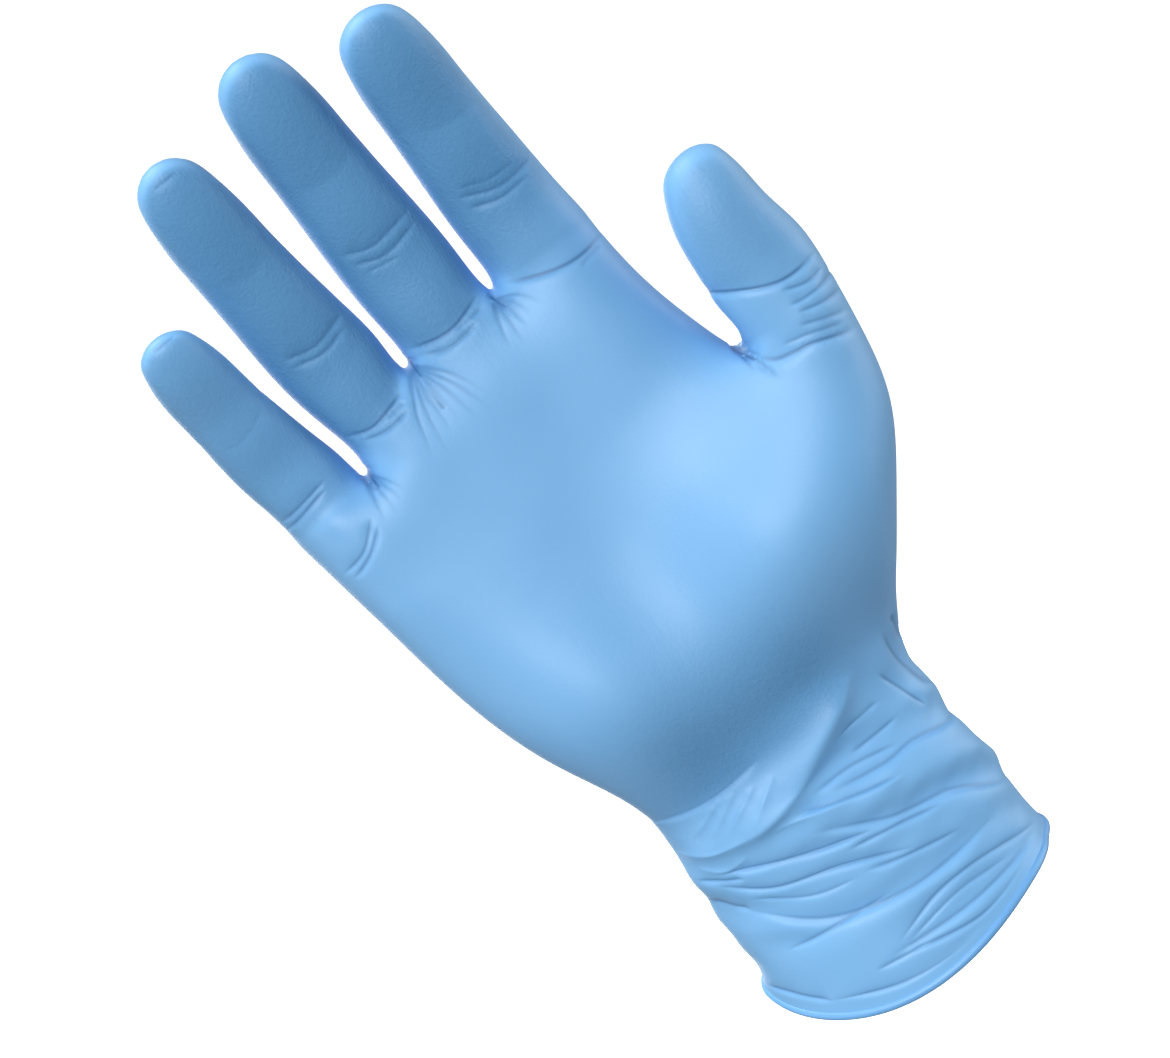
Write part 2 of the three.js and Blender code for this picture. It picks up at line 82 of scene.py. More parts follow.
# A crease stays within the wall of the film, except at the cuff, where both sides of the film fold: its
# depth limit grows to the second value between these two heights
DEEPEST = 0.7
DEEPEST_AT_CUFF = 1.35
DEEPER_AT_CUFF = (50, 40)

# Creases stay off the rolled edge: they fade in between these distances from it, measured on the film
# below CUFF_LOW. They also fade out where the film turns away, by the share of its normal along y
CLEAR_OF_EDGE = (0.5, 3)
CUFF_LOW = 30
FACING = (-0.4, 0.2)

# Creases of the palm side: name, kind, depth, then points along the line (x, z). Ribs and ridges rise
FINGER_CREASES = [
    ("index tip joint", "soft", 0.3, (20, 195), (26, 192.5), (33, 192.5)),
    ("index middle joint, trace", "fine", 0.25, (19, 180.5), (25.5, 178), (32, 177.5)),
    ("index middle joint, upper", "line", 0.7, (18, 178.8), (26, 175.5), (35.5, 175.5)),
    ("index middle joint, lower", "line", 0.6, (18.5, 175.7), (25, 173.5), (32.5, 173.5)),
    ("index base", "deep", 1, (15, 158.8), (23.5, 155.5), (30, 154), (37.5, 153.8)),
    ("index base, short", "fine", 0.4, (29, 152.2), (36, 153)),
    ("middle tip joint", "soft", 0.3, (-6, 201.5), (-0.5, 198.5), (7.5, 200.5)),
    ("middle middle joint, upper", "line", 0.7, (-7.5, 184.3), (-1, 182), (9.5, 183.2)),
    ("middle middle joint, lower", "line", 0.6, (-7, 181.3), (0, 179), (9, 180.5)),
    ("middle middle joint, trace", "fine", 0.3, (-5.5, 178.5), (2, 177)),
    ("middle base, upper", "deep", 0.9, (-9, 160.5), (-3, 159), (2, 158.8), (9.5, 160.5)),
    ("middle base, lower", "line", 0.6, (-7, 157.8), (-1.5, 156), (6, 156.5)),
    ("middle base, crook", "fine", 0.4, (1, 158), (9, 158)),
    ("ring tip", "fine", 0.2, (-28.5, 219), (-22, 219)),
    ("ring tip joint", "soft", 0.25, (-29, 194.5), (-24, 193.5), (-18, 195)),
    ("ring middle joint, upper", "line", 0.65, (-30, 175.2), (-23, 173.3), (-14, 175)),
    ("ring middle joint, lower", "line", 0.55, (-29.5, 172.8), (-22.5, 171.2), (-15.5, 172.5)),
    ("ring base, upper", "deep", 0.8, (-30, 154.5), (-24, 153), (-14.5, 155)),
    ("ring base, crook", "fine", 0.4, (-21, 152.5), (-15.5, 153)),
    ("ring base, lower", "line", 0.6, (-27.5, 151.8), (-22.5, 150.8), (-16, 151.2)),
    ("little tip", "fine", 0.2, (-48.5, 194), (-42.5, 194)),
    ("little tip joint", "soft", 0.25, (-51, 169), (-46, 168), (-38.5, 170.5)),
    ("little middle joint, upper", "line", 0.65, (-51, 148.5), (-44.5, 149.5), (-38, 150.5)),
    ("little middle joint, lower", "line", 0.5, (-51, 146.5), (-44, 148), (-39, 149)),
    ("little base, upper", "line", 0.6, (-47.5, 132.5), (-41, 134.5), (-35.5, 139)),
    ("little base, lower", "line", 0.5, (-46.5, 130.5), (-40, 133.3), (-35.5, 136.8)),
]
THUMB_CREASES = [
    ("thumb joint", "deep", 1.2, (43.5, 133.5), (50, 130), (56, 127), (61, 125.7), (68.5, 125.5)),
    ("thumb side, first", "line", 0.6, (57.5, 124.5), (62.5, 122.6), (67.5, 122.2)),
    ("thumb side, second", "line", 0.7, (57, 121), (62, 120.2), (69.5, 119.8)),
    ("thumb side, third", "line", 0.6, (57.5, 119), (62.5, 117.4), (68, 116)),
    ("thumb side, fourth", "line", 0.5, (56, 116.7), (61.5, 114.4), (66.5, 112)),
    ("thumb foot, upper", "line", 0.5, (50.5, 115.6), (57.5, 113.8), (64.5, 110.8)),
    ("thumb foot, lower", "deep", 0.9, (45, 116.8), (48, 114), (52, 112.9), (57, 111.8), (65.5, 108)),
    ("web pinch, long", "fine", 0.5, (45, 117.5), (45, 114.5), (46, 111)),
]
CUFF_FOLDS = [
    ("heel edge", "edge", 0.7, (-31, 49.3), (-18, 47.5), (-5, 48.6)),
    ("long ridge from the heel", "ridge", 1.9, (22, 51), (9, 44.5), (-5, 38), (-23, 36.5)),
    ("heel rib, first", "rib", 0.35, (-22.5, 40.5), (-13, 46.3)),
    ("heel rib, second", "rib", 0.4, (-19.5, 39.5), (-8.5, 45.2)),
    ("heel rib, third", "rib", 0.4, (-14.5, 38), (-4, 44.5)),
    ("heel rib, fourth", "rib", 0.35, (-25.5, 42.5), (-17.5, 46.2)),
    ("left rib, upper", "rib", 0.5, (-30.5, 40.5), (-24, 37.5), (-16.5, 37)),
    ("left rib, lower", "rib", 0.4, (-29, 36), (-24.5, 32.5), (-19, 33)),
    ("middle rib", "rib", 0.6, (-12, 35), (6, 29.5), (17.5, 26)),
    ("upper line, first", "fine", 0.35, (11, 42), (22.5, 41.5)),
    ("upper line, second", "line", 0.4, (11, 36.8), (23.5, 36)),
    ("left short, upper", "line", 0.5, (-31, 33.5), (-22.5, 29)),
    ("left short, lower", "line", 0.5, (-31.5, 27.5), (-25.5, 22)),
    ("heel groove", "fold", 0.8, (-0.5, 35.5), (10, 35), (20.5, 32)),
    ("first groove", "fold", 1.3, (3, 33.5), (15.5, 30.8), (24, 30), (36, 25)),
    ("second groove", "fold", 0.8, (-6, 34.5), (6, 30), (17, 27)),
    ("third groove", "line", 0.95, (-27, 33), (-10.5, 26.5), (5, 21.5)),
    ("middle groove", "fold", 1.4, (-5, 29), (9.5, 21), (24, 16), (35.5, 6)),
    ("middle short, upper", "line", 0.5, (-2, 21.5), (8.5, 19.2), (19.5, 16)),
    ("middle short, lower", "line", 0.55, (-1.5, 15.5), (7.5, 12.5), (19.5, 9)),
    ("fourth groove", "line", 0.85, (-28, 30.5), (-19.5, 24), (-5, 19.5), (9.5, 13)),
    ("fourth groove, trace", "fine", 0.4, (-24.5, 24.5), (-14, 18), (-4, 15.5)),
    ("fifth groove", "fold", 1.3, (-26.5, 22.5), (-14.5, 12), (4.5, 6.5), (26, 5.5)),
    ("fifth groove, branch", "line", 0.6, (-24.5, 10.5), (-11.5, 9.5), (-0.5, 8.5)),
    ("right line, upper", "line", 0.6, (-5.5, -0.8), (7.5, 2.2), (19.5, 1.2), (33, -3.5)),
    ("right line, middle", "fine", 0.45, (-4, -2), (10.5, -0.5), (24, -2.8)),
    ("low groove", "fold", 1, (-9, -2.2), (10, -4), (32, -4.3)),
    ("low groove, second", "line", 0.55, (-5, -4), (12, -7.5), (26.5, -6)),
    ("low groove, left", "fine", 0.4, (-13, -3), (-0.5, -4.8)),
    ("edge groove", "line", 0.5, (-24.5, -3.5), (-7.5, -9), (16.5, -10.5)),
    ("edge groove, left", "line", 0.5, (-34, 4.8), (-24, -4)),
    ("thumb side, upper", "fold", 0.9, (31.5, 52.5), (31.5, 43), (34.5, 33.5)),
    ("thumb side, middle", "line", 0.45, (25.5, 46.5), (30, 32.5)),
    ("thumb side, lower", "line", 0.6, (35.5, 54), (35, 46)),
]

# Fine wrinkles that fan out from a web towards the palm, with a deep pinch at the web, where they are
# gathered. The turns run from straight down towards the thumb; odd wrinkles have the longer reach and
# even ones the shorter
WEB_FANS = [
    {"name": "index to middle", "at": (11.5, 158), "turns": (-40, 66), "count": 10,
     "reach": (5, 9), "depth": 0.3},
    {"name": "middle to ring", "at": (-10.5, 157.5), "turns": (-42, 56), "count": 15,
     "reach": (8, 16), "depth": 0.32},
    {"name": "ring to little", "at": (-31.3, 145.5), "turns": (-32, 50), "count": 8,
     "reach": (4, 8), "depth": 0.3},
    {"name": "thumb", "at": (44, 118.5), "turns": (-10, 56), "count": 3,
     "reach": (4, 8), "depth": 0.25},
]
PINCH_ABOVE_WEB = 1.5
PINCH_REACH = 3.2
PINCH_DEPTH = 1
FAN_START = 0.8
# The wrinkles of a fan get FAN_DARK of the painted shade, and the pinch at the web gets all of it
FAN_DARK = 0.7

# Points along a wrinkle of a fan: share of its reach, and how much of its turn it still has there
FAN_POINTS = [(0, 1), (0.45, 0.9), (1, 0.7)]

# Reach and depth differ from wrinkle to wrinkle, by a share of themselves and by this much turn for each
REACH_CHANGE, REACH_TURN = 0.15, 2.4
DEPTH_CHANGE, DEPTH_TURN = 0.35, 1.7

# Creases of the back, which the photo doesn't show
BACK_CREASES = [
    ("index knuckle", "soft", 0.2, (15, 177), (26, 178), (37, 177)),
    ("middle knuckle", "soft", 0.2, (-9, 184), (1, 185), (11, 184)),
    ("ring knuckle", "soft", 0.2, (-32, 176), (-22, 177), (-12, 176)),
    ("little knuckle", "soft", 0.2, (-53, 152), (-44, 153), (-36, 153)),
    ("wrist fold, first", "fold", 0.7, (-31, 50), (-8, 45), (14, 48)),
    ("wrist fold, second", "fold", 0.8, (-14, 40), (8, 37), (34, 42)),
    ("cuff fold, first", "fold", 0.8, (-33, 33), (-6, 27), (20, 30)),
    ("cuff fold, second", "fold", 0.7, (-8, 22), (14, 19), (35, 25)),
    ("cuff fold, third", "fold", 0.7, (-34, 17), (-10, 11), (12, 12)),
    ("cuff fold, fourth", "fold", 0.55, (2, 7), (12, 6.5), (28, 10)),
    ("cuff line, first", "line", 0.45, (-28, 39), (-14, 36), (0, 34)),
    ("cuff line, second", "line", 0.45, (4, 31), (16, 31), (31, 35)),
    ("cuff line, third", "line", 0.45, (-26, 24), (-12, 20), (2, 19)),
]

# The film is divided once on the palm side and below CUFF_TOP, again within NEAR_CREASE of a crease in
# front or NEAR_BACK_CREASE of one on the back of the cuff, and a third time within AT_CREASE of the
# sharp ones in front. Sides are told by the share of a face's normal along y
CUFF_TOP = 56
NEAR_CREASE = 1.6
NEAR_BACK_CREASE = 1.2
AT_CREASE = 0.7
FRONT_BELOW = 0.1
FRONT_BELOW_AT_CREASE = 0.05
SHARP_BELOW = 3

# Where painted shade lies on the pads and the heel, and where painted light pales the cuff, in
# millimetres. A pair is where that starts to show and where it shows fully. The fingers' bases rise
# towards the thumb, and the little finger gets less of the painted shade
PAD_SHADE_FINGERS = {"rise": 0.25, "least_x": -60, "height": (146, 166), "above": 125}
PAD_SHADE_LITTLE_FINGER = {"less": 0.5, "x": (-31, -37)}
PAD_SHADE_THUMB = {"share": 0.5, "height": (126, 134), "right_of": 44}
HEEL_SHADE = {"share": 0.75, "from_below": (44, 51), "from_above": (88, 58),
              "from_right": (30, 12), "from_left": (-36, -12)}
CUFF_LIGHT_HEIGHT = (50, 36)

# The painted shade shows where the film's normal points to the front: on the pads, less where it points
# upwards, into the light from above
PADS_UPWARDS = 0.9
PADS_FACING = (0.2, 0.85)
HEEL_FACING = (0.2, 0.6)


def select_only(piece):
    bpy.ops.object.select_all(action="DESELECT")
    piece.select_set(True)
    bpy.context.view_layer.objects.active = piece


def edit(piece, mode="VERT"):
    select_only(piece)
    bpy.ops.object.mode_set(mode="EDIT")
    bpy.ops.mesh.select_mode(type=mode)


def leave_edit():
    bpy.ops.object.mode_set(mode="OBJECT")


def apply_subdivision(piece, levels):
    select_only(piece)
    smooth = piece.modifiers.new("smooth film", "SUBSURF")
    smooth.levels = smooth.render_levels = levels
    bpy.ops.object.modifier_apply(modifier=smooth.name)


MERGE_WITHIN = 0.02 * MM
ANY_ANGLE = 3.14


# The film of the frame's glove, merged, in quads
def merged_copy(name, node):
    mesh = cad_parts[node].data.copy()
    mesh.materials.clear()
    piece = bpy.data.objects.new(name, mesh)
    bpy.context.scene.collection.objects.link(piece)
    select_only(piece)
    if mesh.has_custom_normals:
        bpy.ops.mesh.customdata_custom_splitnormals_clear()
    edit(piece)
    bpy.ops.mesh.select_all(action="SELECT")
    bpy.ops.mesh.remove_doubles(threshold=MERGE_WITHIN)
    bpy.ops.mesh.tris_convert_to_quads(face_threshold=ANY_ANGLE, shape_threshold=ANY_ANGLE)
    leave_edit()
    return piece


# Cuts the closed film along the lowest line of its rolled edge, parts its outside from its inside, and
# takes the two rows of the solid's own bead off each
def part_at_roll(film):
    edit(film, "EDGE")
    bpy.ops.mesh.select_all(action="DESELECT")
    work = bmesh.from_edit_mesh(film.data)
    lowest = min(work.verts, key=lambda v: v.co.z)
    along = max(lowest.link_edges, key=lambda e: e.calc_length())
    along.select_set(True)
    bmesh.update_edit_mesh(film.data)
    bpy.ops.mesh.loop_multi_select(ring=False)
    bpy.ops.mesh.select_mode(type="VERT")
    bpy.ops.mesh.delete(type="VERT")
    bpy.ops.mesh.select_all(action="SELECT")
    bpy.ops.mesh.separate(type="LOOSE")
    leave_edit()
    halves = [o for o in bpy.context.selected_objects if o.type == "MESH"]
    halves.sort(key=lambda o: o.dimensions.x)
    inside, outside = halves
    for half in halves:
        for _ in range(2):
            edit(half)
            bpy.ops.mesh.select_all(action="DESELECT")
            bpy.ops.mesh.select_non_manifold()
            bpy.ops.mesh.delete(type="VERT")
            leave_edit()
    return outside, inside


# A finer copy of a film, to lay divided faces back on its curve
def smooth_form(film, levels):
    form = film.copy()
    form.data = film.data.copy()
    bpy.context.scene.collection.objects.link(form)
    apply_subdivision(form, levels)
    return form


def lay_on(film, form):
    select_only(film)
    wrap = film.modifiers.new("lie on the smooth form", "SHRINKWRAP")
    wrap.target = form
    wrap.wrap_method = "NEAREST_SURFACEPOINT"
    bpy.ops.object.modifier_apply(modifier=wrap.name)
    bpy.data.objects.remove(form)


# Points along the open edge of a film in order, each with the film's outward and downward directions
def edge_line(film):
    work = bmesh.new()
    work.from_mesh(film.data)
    start = next(v for v in work.verts if v.is_boundary)
    line, before, here = [], None, start
    while True:
        above = [e.other_vert(here) for e in here.link_edges if not e.is_boundary]
        if above:
            middle = sum((v.co for v in above), Vector()) / len(above)
            out = here.normal.copy()
            down = here.co - middle
            down = (down - out * down.dot(out)).normalized()
        line.append((here.index, here.co.copy(), out, down))
        beside = [e.other_vert(here) for e in here.link_edges if e.is_boundary]
        following = next((v for v in beside if v is not before), None)
        before, here = here, following
        if here is start:
            break
    work.free()
    return line


def lengthen_edge(film, line, length):
    for index, point, _, down in line:
        film.data.vertices[index].co = point + down * length


# 0 up to the start, 1 from the end on and smooth between them. The end may be the lower of the two
def fade(x, start, end):
    t = np.clip((x - start) / (end - start), 0, 1)
    return t * t * (3 - 2 * t)


# A smooth line through a few points, from the little finger's side to the thumb's
def smooth_line(points, steps=8):
    p = np.array(points, float)
    if p[-1, 0] < p[0, 0]:
        p = p[::-1]
    if len(p) == 2:
        return p
    p = np.vstack([2 * p[0] - p[1], p, 2 * p[-1] - p[-2]])
    parts = []
    for a, b, c, d in zip(p, p[1:], p[2:], p[3:]):
        t = np.linspace(0, 1, steps, endpoint=False)[:, None]
        parts.append(b + 0.5 * t * (c - a + t * (2 * a - 5 * b + 4 * c - d + t * (3 * (b - c) + d - a))))
    return np.vstack([*parts, p[-2][None]])


# For places (x, z): how far each lies from a line, below it counted as positive, and how far along it
def against_line(places, line):
    starts, steps = line[:-1], np.diff(line, axis=0)
    lengths = np.linalg.norm(steps, axis=1)
    reached = np.concatenate([[0], np.cumsum(lengths)])
    gap = np.full(len(places), 1e9)
    side = np.ones(len(places))
    along = np.zeros(len(places))
    for start, step, length, passed in zip(starts, steps, lengths, reached):
        to = places - start
        share = np.clip(to @ step / length**2, 0, 1)
        away = np.linalg.norm(to - share[:, None] * step, axis=1)
        closer = away < gap
        gap[closer] = away[closer]
        side[closer] = np.where(step[1] * to[closer, 0] - step[0] * to[closer, 1] < 0, -1, 1)
        along[closer] = (passed + share[closer] * length) / reached[-1]
    return gap * side, along


# A row of the tables as a crease. Its waver starts at the length of its name, so that neighbours differ
def crease(name, kind, depth, *points):
    rises = kind in ("rib", "ridge")
    depth = -depth if rises else depth
    return {"line": smooth_line(points), "depth": depth, "phase": len(name), **KINDS[kind]}


# The pinch of a web, then its fan. gathered_at is the end of the line at which a wrinkle is deepest
def web_wrinkles(fan):
    x, z = fan["at"]
    middle = radians(sum(fan["turns"]) / 2)
    pinch_end = (x + PINCH_REACH * sin(middle), z - PINCH_REACH * cos(middle))
    pinch = crease(fan["name"], "deep", PINCH_DEPTH, (x, z + PINCH_ABOVE_WEB), (x, z), pinch_end)
    yield {**pinch, "dark": 1}
    for i in range(fan["count"]):
        first, last = fan["turns"]
        turn = first + (last - first) * i / (fan["count"] - 1)
        reach = fan["reach"][i % 2] * (1 + REACH_CHANGE * sin(REACH_TURN * i))
        depth = fan["depth"] * (1 + DEPTH_CHANGE * sin(DEPTH_TURN * i))
        points = []
        for share, bend in FAN_POINTS:
            away = FAN_START + share * reach
            angle = radians(turn * bend)
            points.append((x + away * sin(angle), z - away * cos(angle)))
        wrinkle = crease(fan["name"], "fine", depth, *points)
        wrinkle["phase"] += i
        gathered_at = 0 if points[0][0] < points[-1][0] else 1
        yield {**wrinkle, "dark": FAN_DARK, "gathered_at": gathered_at}


# How far one crease lowers the film at the places near it, and how much painted shade it puts on them
def sink_at(places, spec):
    off, along = against_line(places, spec["line"])
    if "gathered_at" in spec:
        ends = 1 - np.abs(along - spec["gathered_at"])
    else:
        ends = fade(along, END_START, END_TAPER) * fade(1 - along, END_START, END_TAPER)
    gap = np.sqrt(off * off + spec["round"] ** 2) - spec["round"]
    thin = THINNEST + (1 - THINNEST) * ends
    above = np.exp(-gap / (spec["above"] * thin))
    below = (1 + spec["lip"]) * np.exp(-gap / (spec["below"] * thin))
    below -= spec["lip"] * np.exp(-gap / (LIP_WIDTH * spec["below"] * thin))
    waver = 1 + WAVER * np.sin(WAVER_TURNS * along + spec["phase"])
    dark = spec["dark"] * ends * np.exp(-((off + DARK_OFFSET) / DARK_WIDTH) ** 2)
    return spec["depth"] * ends * waver * np.where(off < 0, above, below), dark


def mesh_points(mesh):
    count = len(mesh.vertices)
    places, normals = np.empty(count * 3), np.empty(count * 3)
    mesh.vertices.foreach_get("co", places)
    mesh.vertices.foreach_get("normal", normals)
    return places.reshape(-1, 3), normals.reshape(-1, 3)


# Whether places (x, z) lie in the box around a crease, grown by a reach
def close_to(places, spec, reach):
    line = spec["line"]
    return np.all((places > line.min(0) - reach) & (places < line.max(0) + reach), axis=1)


# Presses creases into one side of the film and gives their painted shade. sign is PALM or BACK; outward
# is
# INTO_GLOVE where the film's faces look into the glove
def press_creases(film, creases, sign, cuff_line, outward=1):
    places, normals = mesh_points(film.data)
    normals *= outward
    flat = places[:, [0, 2]] / MM
    facing = fade(sign * normals[:, 1], *FACING)
    edge = np.array([point for _, point, _, _ in cuff_line])
    low = places[:, 2] < CUFF_LOW * MM
    gap = np.full(len(places), 1.0)
    gap[low] = np.min(np.linalg.norm(places[low, None] - edge[None], axis=2), axis=1)
    facing *= fade(gap / MM, *CLEAR_OF_EDGE)
    sunk, crease_shade = np.zeros(len(places)), np.zeros(len(places))
    for spec in creases:
        near = (facing > 0) & close_to(flat, spec, REACH_SLOPES * spec["above"] + REACH_BEYOND)
        depth, dark = sink_at(flat[near], spec)
        sunk[near] += depth
        crease_shade[near] = np.maximum(crease_shade[near], dark)
    deepest = DEEPEST + (DEEPEST_AT_CUFF - DEEPEST) * fade(places[:, 2] / MM, *DEEPER_AT_CUFF)
    sunk = np.where(sunk > 0, deepest * np.tanh(sunk / deepest), sunk)
    places -= normals * (sunk * facing * MM)[:, None]
    film.data.vertices.foreach_set("co", places.ravel())
    film.data.update()
    return crease_shade * facing


def face_middles(mesh):
    count = len(mesh.polygons)
    middles, normals = np.empty(count * 3), np.empty(count * 3)
    mesh.polygons.foreach_get("center", middles)
    mesh.polygons.foreach_get("normal", normals)
    return middles.reshape(-1, 3) / MM, normals.reshape(-1, 3)


def divide_faces(film, chosen):
    edit(film, "FACE")
    bpy.ops.mesh.select_all(action="DESELECT")
    leave_edit()
    film.data.polygons.foreach_set("select", chosen)
    bpy.ops.object.mode_set(mode="EDIT")
    bpy.ops.mesh.subdivide(number_cuts=1, smoothness=0)
    leave_edit()


def near_creases(flat, creases, reach):
    chosen = np.zeros(len(flat), bool)
    for spec in creases:
        near = np.flatnonzero(close_to(flat, spec, reach) & ~chosen)
        if len(near):
            off, _ = against_line(flat[near], spec["line"])
            chosen[near] = np.abs(off) < reach
    return chosen


# Divides the film where it shows most: the palm side and the cuff, then beside the creases
def refine(film, palm_creases, back_creases):
    middles, normals = face_middles(film.data)
    divide_faces(film, (normals[:, 1] < 0) | (middles[:, 2] < CUFF_TOP))
    middles, normals = face_middles(film.data)
    flat = middles[:, [0, 2]]
    palm = (normals[:, 1] < FRONT_BELOW) & near_creases(flat, palm_creases, NEAR_CREASE)
    back = (normals[:, 1] > FRONT_BELOW) & near_creases(flat, back_creases, NEAR_BACK_CREASE)
    divide_faces(film, palm | (back & (middles[:, 2] < CUFF_TOP)))
    middles, normals = face_middles(film.data)
    front = normals[:, 1] < FRONT_BELOW_AT_CREASE
    sharp = [spec for spec in palm_creases if spec["above"] < SHARP_BELOW]
    divide_faces(film, front & near_creases(middles[:, [0, 2]], sharp, AT_CREASE))


def rolled_edge(line):
    curve = bpy.data.curves.new("rolled_edge", "CURVE")
    curve.dimensions = "3D"
    spline = curve.splines.new("POLY")
    spline.points.add(len(line) - 1)
    for spot, (_, point, out, down) in zip(spline.points, line):
        centre = point + down * (ROLL_DROP * MM) - out * (HALF_FILM * MM)
        spot.co = (*centre, 1)
    spline.use_cyclic_u = True
    curve.bevel_depth = ROLL_RADIUS * MM
    curve.bevel_resolution = 5
    roll = bpy.data.objects.new("rolled_edge", curve)
    bpy.context.scene.collection.objects.link(roll)
    select_only(roll)
    bpy.ops.object.convert(target="MESH")
    return bpy.context.object


# Painted shade on the pads of the fingers and thumb and on the heel: 1 there, 0 on the rest
def shaded_pads(film):
    places, normals = mesh_points(film.data)
    x, z = places[:, 0] / MM, places[:, 2] / MM
    height = z - PAD_SHADE_FINGERS["rise"] * np.maximum(x, PAD_SHADE_FINGERS["least_x"])
    fingers = fade(height, *PAD_SHADE_FINGERS["height"]) * (z > PAD_SHADE_FINGERS["above"])
    fingers *= 1 - PAD_SHADE_LITTLE_FINGER["less"] * fade(x, *PAD_SHADE_LITTLE_FINGER["x"])
    thumb = PAD_SHADE_THUMB["share"] * fade(z, *PAD_SHADE_THUMB["height"]) * (x > PAD_SHADE_THUMB["right_of"])
    heel = HEEL_SHADE["share"] * fade(z, *HEEL_SHADE["from_below"]) * fade(z, *HEEL_SHADE["from_above"])
    heel = heel * fade(x, *HEEL_SHADE["from_right"]) * fade(x, *HEEL_SHADE["from_left"])
    pads = fade(-normals[:, 1] - PADS_UPWARDS * normals[:, 2], *PADS_FACING)
    return np.maximum(np.maximum(fingers, thumb) * pads, heel * fade(-normals[:, 1], *HEEL_FACING))


# Painted light: the film paler towards the cuff
def painted_cuff_light(film):
    places, _ = mesh_points(film.data)
    return fade(places[:, 2] / MM, *CUFF_LIGHT_HEIGHT)


def mark(film, name, values):
    film.data.attributes.new(name, "FLOAT", "POINT").data.foreach_set("value", values)


# Materials: a colour from its red, green and blue as they show on a screen
def linear(red, green, blue):
    return tuple(((c / 255 + 0.055) / 1.055) ** 2.4 for c in (red, green, blue)) + (1,)


# Colour, gloss and grain of the film. A scale says how many patches fit in a metre
CLOUD_RANGE = (0.35, 0.65)
GLOSS_SCALE = 70
GLOSS_CHANGE = 0.16
DULLER_ON_PADS = 0.06
STREAK_SCALE = 900
STREAK_SHARE = 0.8
STREAK_STRETCH = (1, 1, 0.12)
STREAK_TURN = radians(8)
GRAIN_OFF_PADS = 0.25
GRAIN_DEPTH = 0.25 * MM


def film_surface_group():
    group = bpy.data.node_groups.new("film surface", "ShaderNodeTree")

    def socket(name, way, kind, value=None):
        made = group.interface.new_socket(name=name, in_out=way, socket_type=kind)
        if value is not None:
            made.default_value = value

    socket("Pale", "INPUT", "NodeSocketColor")
    socket("Deep", "INPUT", "NodeSocketColor")
    socket("Tight colour", "INPUT", "NodeSocketColor")
    socket("Slack colour", "INPUT", "NodeSocketColor")
    socket("Creased colour", "INPUT", "NodeSocketColor")
    socket("Tight", "INPUT", "NodeSocketFloat", 0)
    socket("Slack", "INPUT", "NodeSocketFloat", 0)
    socket("Creased", "INPUT", "NodeSocketFloat", 0)
    socket("Cloud scale", "INPUT", "NodeSocketFloat", 30)
    socket("Grain scale", "INPUT", "NodeSocketFloat", 1500)
    socket("Grain height", "INPUT", "NodeSocketFloat", 0.3)
    socket("Matte", "INPUT", "NodeSocketFloat", 0.5)
    socket("Colour", "OUTPUT", "NodeSocketColor")
    socket("Roughness", "OUTPUT", "NodeSocketFloat")
    socket("Normal", "OUTPUT", "NodeSocketVector")

    nodes, links = group.nodes, group.links
    given, result = nodes.new("NodeGroupInput"), nodes.new("NodeGroupOutput")
    place = nodes.new("ShaderNodeTexCoord").outputs["Object"]

    def noise(scale, detail, vector=place):
        made = nodes.new("ShaderNodeTexNoise")
        made.inputs["Detail"].default_value = detail
        links.new(vector, made.inputs["Vector"])
        if isinstance(scale, str):
            links.new(given.outputs[scale], made.inputs["Scale"])
        else:
            made.inputs["Scale"].default_value = scale
        return made.outputs["Fac"]

    def math(operation, first, second):
        made = nodes.new("ShaderNodeMath")
        made.operation = operation
        for spot, value in zip(made.inputs, (first, second)):
            if isinstance(value, (int, float)):
                spot.default_value = value
            else:
                links.new(value, spot)
        return made.outputs["Value"]

    def blend(factor, first, second):
        made = nodes.new("ShaderNodeMix")
        made.data_type = "RGBA"
        links.new(factor, made.inputs["Factor"])
        links.new(first, made.inputs["A"])
        links.new(second, made.inputs["B"])
        return made.outputs["Result"]

    # Faint clouds in the colour, with painted shade on the pads, on the heel and in the creases, and
    # painted light that pales the cuff
    clouds = nodes.new("ShaderNodeMapRange")
    clouds.inputs["From Min"].default_value, clouds.inputs["From Max"].default_value = CLOUD_RANGE
    links.new(noise("Cloud scale", 3), clouds.inputs["Value"])
    colour = blend(clouds.outputs["Result"], given.outputs["Deep"], given.outputs["Pale"])
    for mask in ("Slack", "Tight", "Creased"):
        colour = blend(given.outputs[mask], colour, given.outputs[mask + " colour"])
    links.new(colour, result.inputs["Colour"])

    # The gloss changes with the clouds and is duller where the film is textured
    change = math("MULTIPLY", math("SUBTRACT", noise(GLOSS_SCALE, 2), 0.5), GLOSS_CHANGE)
    dull = math("MULTIPLY", given.outputs["Tight"], DULLER_ON_PADS)
    links.new(math("ADD", math("ADD", given.outputs["Matte"], change), dull), result.inputs["Roughness"])

    # Fine grain of the dipped film, with stretch lines along the fingers
    stretch = nodes.new("ShaderNodeMapping")
    stretch.inputs["Scale"].default_value = STREAK_STRETCH
    stretch.inputs["Rotation"].default_value = (0, STREAK_TURN, 0)
    links.new(place, stretch.inputs["Vector"])
    streaks = math("MULTIPLY", noise(STREAK_SCALE, 1, stretch.outputs["Vector"]), STREAK_SHARE)
    grain = math("ADD", noise("Grain scale", 2), streaks)
    height = math("MULTIPLY", grain, math("ADD", given.outputs["Tight"], GRAIN_OFF_PADS))
    bump = nodes.new("ShaderNodeBump")
    bump.inputs["Distance"].default_value = GRAIN_DEPTH
    links.new(given.outputs["Grain height"], bump.inputs["Strength"])
    links.new(height, bump.inputs["Height"])
    links.new(bump.outputs["Normal"], result.inputs["Normal"])
    return group


def new_material(name):
    material = bpy.data.materials.new(name)
    material.use_nodes = True
    nodes = material.node_tree.nodes
    nodes.clear()
    shader = nodes.new("ShaderNodeBsdfPrincipled")
    output = nodes.new("ShaderNodeOutputMaterial")
    material.node_tree.links.new(shader.outputs["BSDF"], output.inputs["Surface"])
    return material, shader


GLOSS = 0.65
SHEEN_ROUGHNESS = 0.4


